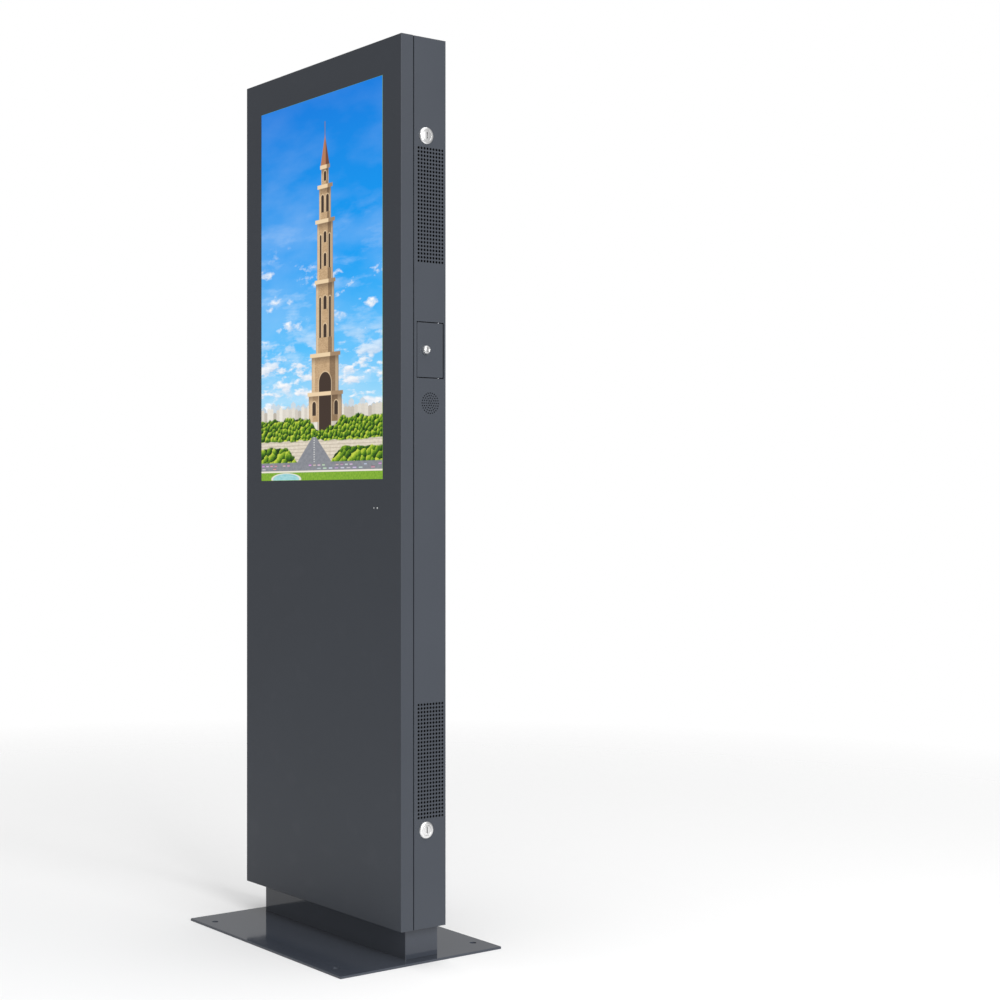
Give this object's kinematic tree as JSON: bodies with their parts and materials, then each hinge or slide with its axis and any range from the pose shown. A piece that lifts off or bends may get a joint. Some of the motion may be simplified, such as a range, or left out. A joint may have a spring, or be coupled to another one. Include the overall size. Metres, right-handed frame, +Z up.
{
  "type": "touchscreen kiosk",
  "caption": "Free-standing portrait information kiosk: slim metal cabinet with a flush touch screen in its hinged front door, side vents, locks and service hatch, on a plinth and floor plate.",
  "frame": {"origin": "centre of the four floor-fixing holes, on the underside of the base plate", "axes": "+Z up along the cabinet, the screen faces -Y, +X to the right of a person facing the screen"},
  "size_m": [0.5074, 0.35, 1.6],
  "materials": {
    "cabinet_paint": "fine-grained matte powder coat, anthracite",
    "door_paint": "fine-grained matte powder coat, anthracite",
    "stand_gloss": "smooth high-gloss coat, anthracite",
    "zinc_steel": "zinc plated sheet and fasteners",
    "hinge_steel": "plain rolled steel",
    "chrome": "bright plated",
    "touch_glass": "clear toughened glass, polished edge",
    "screen": null,
    "anodised_frame": "grey anodised",
    "black_plastic": "moulded, fine texture",
    "grey_plastic": "moulded, satin",
    "switch_plastic": "moulded, glossy",
    "circuit_board": "solder mask over glass fibre laminate",
    "seal_rubber": "matte foam rubber",
    "filter_mat": "open-cell mat",
    "cone_paper": "pressed paper",
    "lens_white": "translucent moulded"
  },
  "bodies": {
    "root": {"base_plate": "stand_gloss", "base_screws": "zinc_steel", "plinth_shell": "stand_gloss", "plinth_top_plate": "stand_gloss", "plinth_rear_cover": "stand_gloss", "plinth_bolts": "zinc_steel", "side_panel_right": "cabinet_paint", "side_panel_left": "cabinet_paint", "jamb_right": "cabinet_paint", "rear_panel": "cabinet_paint", "top_panel": "cabinet_paint", "bottom_panel": "cabinet_paint", "door_seal": "seal_rubber", "cable_gland": "black_plastic", "earth_stud": "zinc_steel", "hinge_leaf_casing": "hinge_steel", "hinge_pin": "zinc_steel", "door_lock_bodies": "chrome", "hatch_pin": "zinc_steel", "service_bay_box": "zinc_steel", "port_plate": "anodised_frame", "data_ports": "anodised_frame", "rocker_housing": "black_plastic", "fan_frames": "black_plastic", "dust_filters": "filter_mat", "speaker_baskets": "black_plastic", "speaker_cones": "cone_paper", "equipment_plate": "zinc_steel", "plate_spacers": "zinc_steel", "power_supply": "zinc_steel", "media_player": "anodised_frame", "audio_amplifier": "anodised_frame", "din_rail": "zinc_steel", "circuit_breaker": "grey_plastic", "terminal_block": "grey_plastic"},
    "front_door": {"door_skin": "door_paint", "touch_glass": "touch_glass", "glass_frame": "anodised_frame", "display_panel": "screen", "door_rails": "zinc_steel", "display_brackets": "zinc_steel", "bracket_screws": "zinc_steel", "driver_board": "circuit_board", "touch_controller": "circuit_board", "sensor_lens": "lens_white", "status_lamp": "lens_white", "sensor_board": "black_plastic", "door_strikes": "zinc_steel", "hinge_leaf_door": "hinge_steel"},
    "upper_lock": {"lock_cylinder_upper": "chrome"},
    "lower_lock": {"lock_cylinder_lower": "chrome"},
    "hatch": {"hatch_door": "cabinet_paint", "hatch_lock_body": "chrome"},
    "hatch_lock": {"hatch_lock_cylinder": "chrome"},
    "power_rocker": {"power_rocker": "switch_plastic"},
    "breaker_lever": {"breaker_lever": "switch_plastic"},
    "fan_right_upper": {"fan_rotor_right_upper": "black_plastic"},
    "fan_right_lower": {"fan_rotor_right_lower": "black_plastic"},
    "fan_left_upper": {"fan_rotor_left_upper": "black_plastic"},
    "fan_left_lower": {"fan_rotor_left_lower": "black_plastic"}
  },
  "joints": [
    {"name": "door_hinge", "type": "hinge", "parent": "root", "child": "front_door", "pos_m": [-0.2465, -0.022, 1.18775], "axis": [0, 0, -1], "range_deg": [0, 95]},
    {"name": "upper_lock_turn", "type": "hinge", "parent": "root", "child": "upper_lock", "pos_m": [0.25, 0.005, 1.43], "axis": [-1, 0, 0], "range_deg": [0, 90]},
    {"name": "lower_lock_turn", "type": "hinge", "parent": "root", "child": "lower_lock", "pos_m": [0.25, 0.005, 0.23], "axis": [-1, 0, 0], "range_deg": [0, 90]},
    {"name": "hatch_hinge", "type": "hinge", "parent": "root", "child": "hatch", "pos_m": [0.2455, 0.0349, 1.0598], "axis": [0, 0, 1], "range_deg": [0, 100]},
    {"name": "hatch_lock_turn", "type": "hinge", "parent": "hatch", "child": "hatch_lock", "pos_m": [0.25, 0.003, 1.0598], "axis": [1, 0, 0], "range_deg": [0, 90]},
    {"name": "power_switch", "type": "hinge", "parent": "root", "child": "power_rocker", "pos_m": [0.1805, 0.0139, 1.0878], "axis": [0, -1, 0], "range_deg": [0, 24]},
    {"name": "breaker_switch", "type": "hinge", "parent": "root", "child": "breaker_lever", "pos_m": [-0.08, -0.0025, 0.35], "axis": [-1, 0, 0], "range_deg": [0, 80]},
    {"name": "fan_right_upper_spin", "type": "hinge", "parent": "root", "child": "fan_right_upper", "pos_m": [0.248, 0.015, 1.3455], "axis": [1, 0, 0], "continuous": true},
    {"name": "fan_right_lower_spin", "type": "hinge", "parent": "root", "child": "fan_right_lower", "pos_m": [0.248, 0.015, 1.2755], "axis": [1, 0, 0], "continuous": true},
    {"name": "fan_left_upper_spin", "type": "hinge", "parent": "root", "child": "fan_left_upper", "pos_m": [-0.248, 0.015, 1.3455], "axis": [-1, 0, 0], "continuous": true},
    {"name": "fan_left_lower_spin", "type": "hinge", "parent": "root", "child": "fan_left_lower", "pos_m": [-0.248, 0.015, 1.2755], "axis": [-1, 0, 0], "continuous": true}
  ]
}
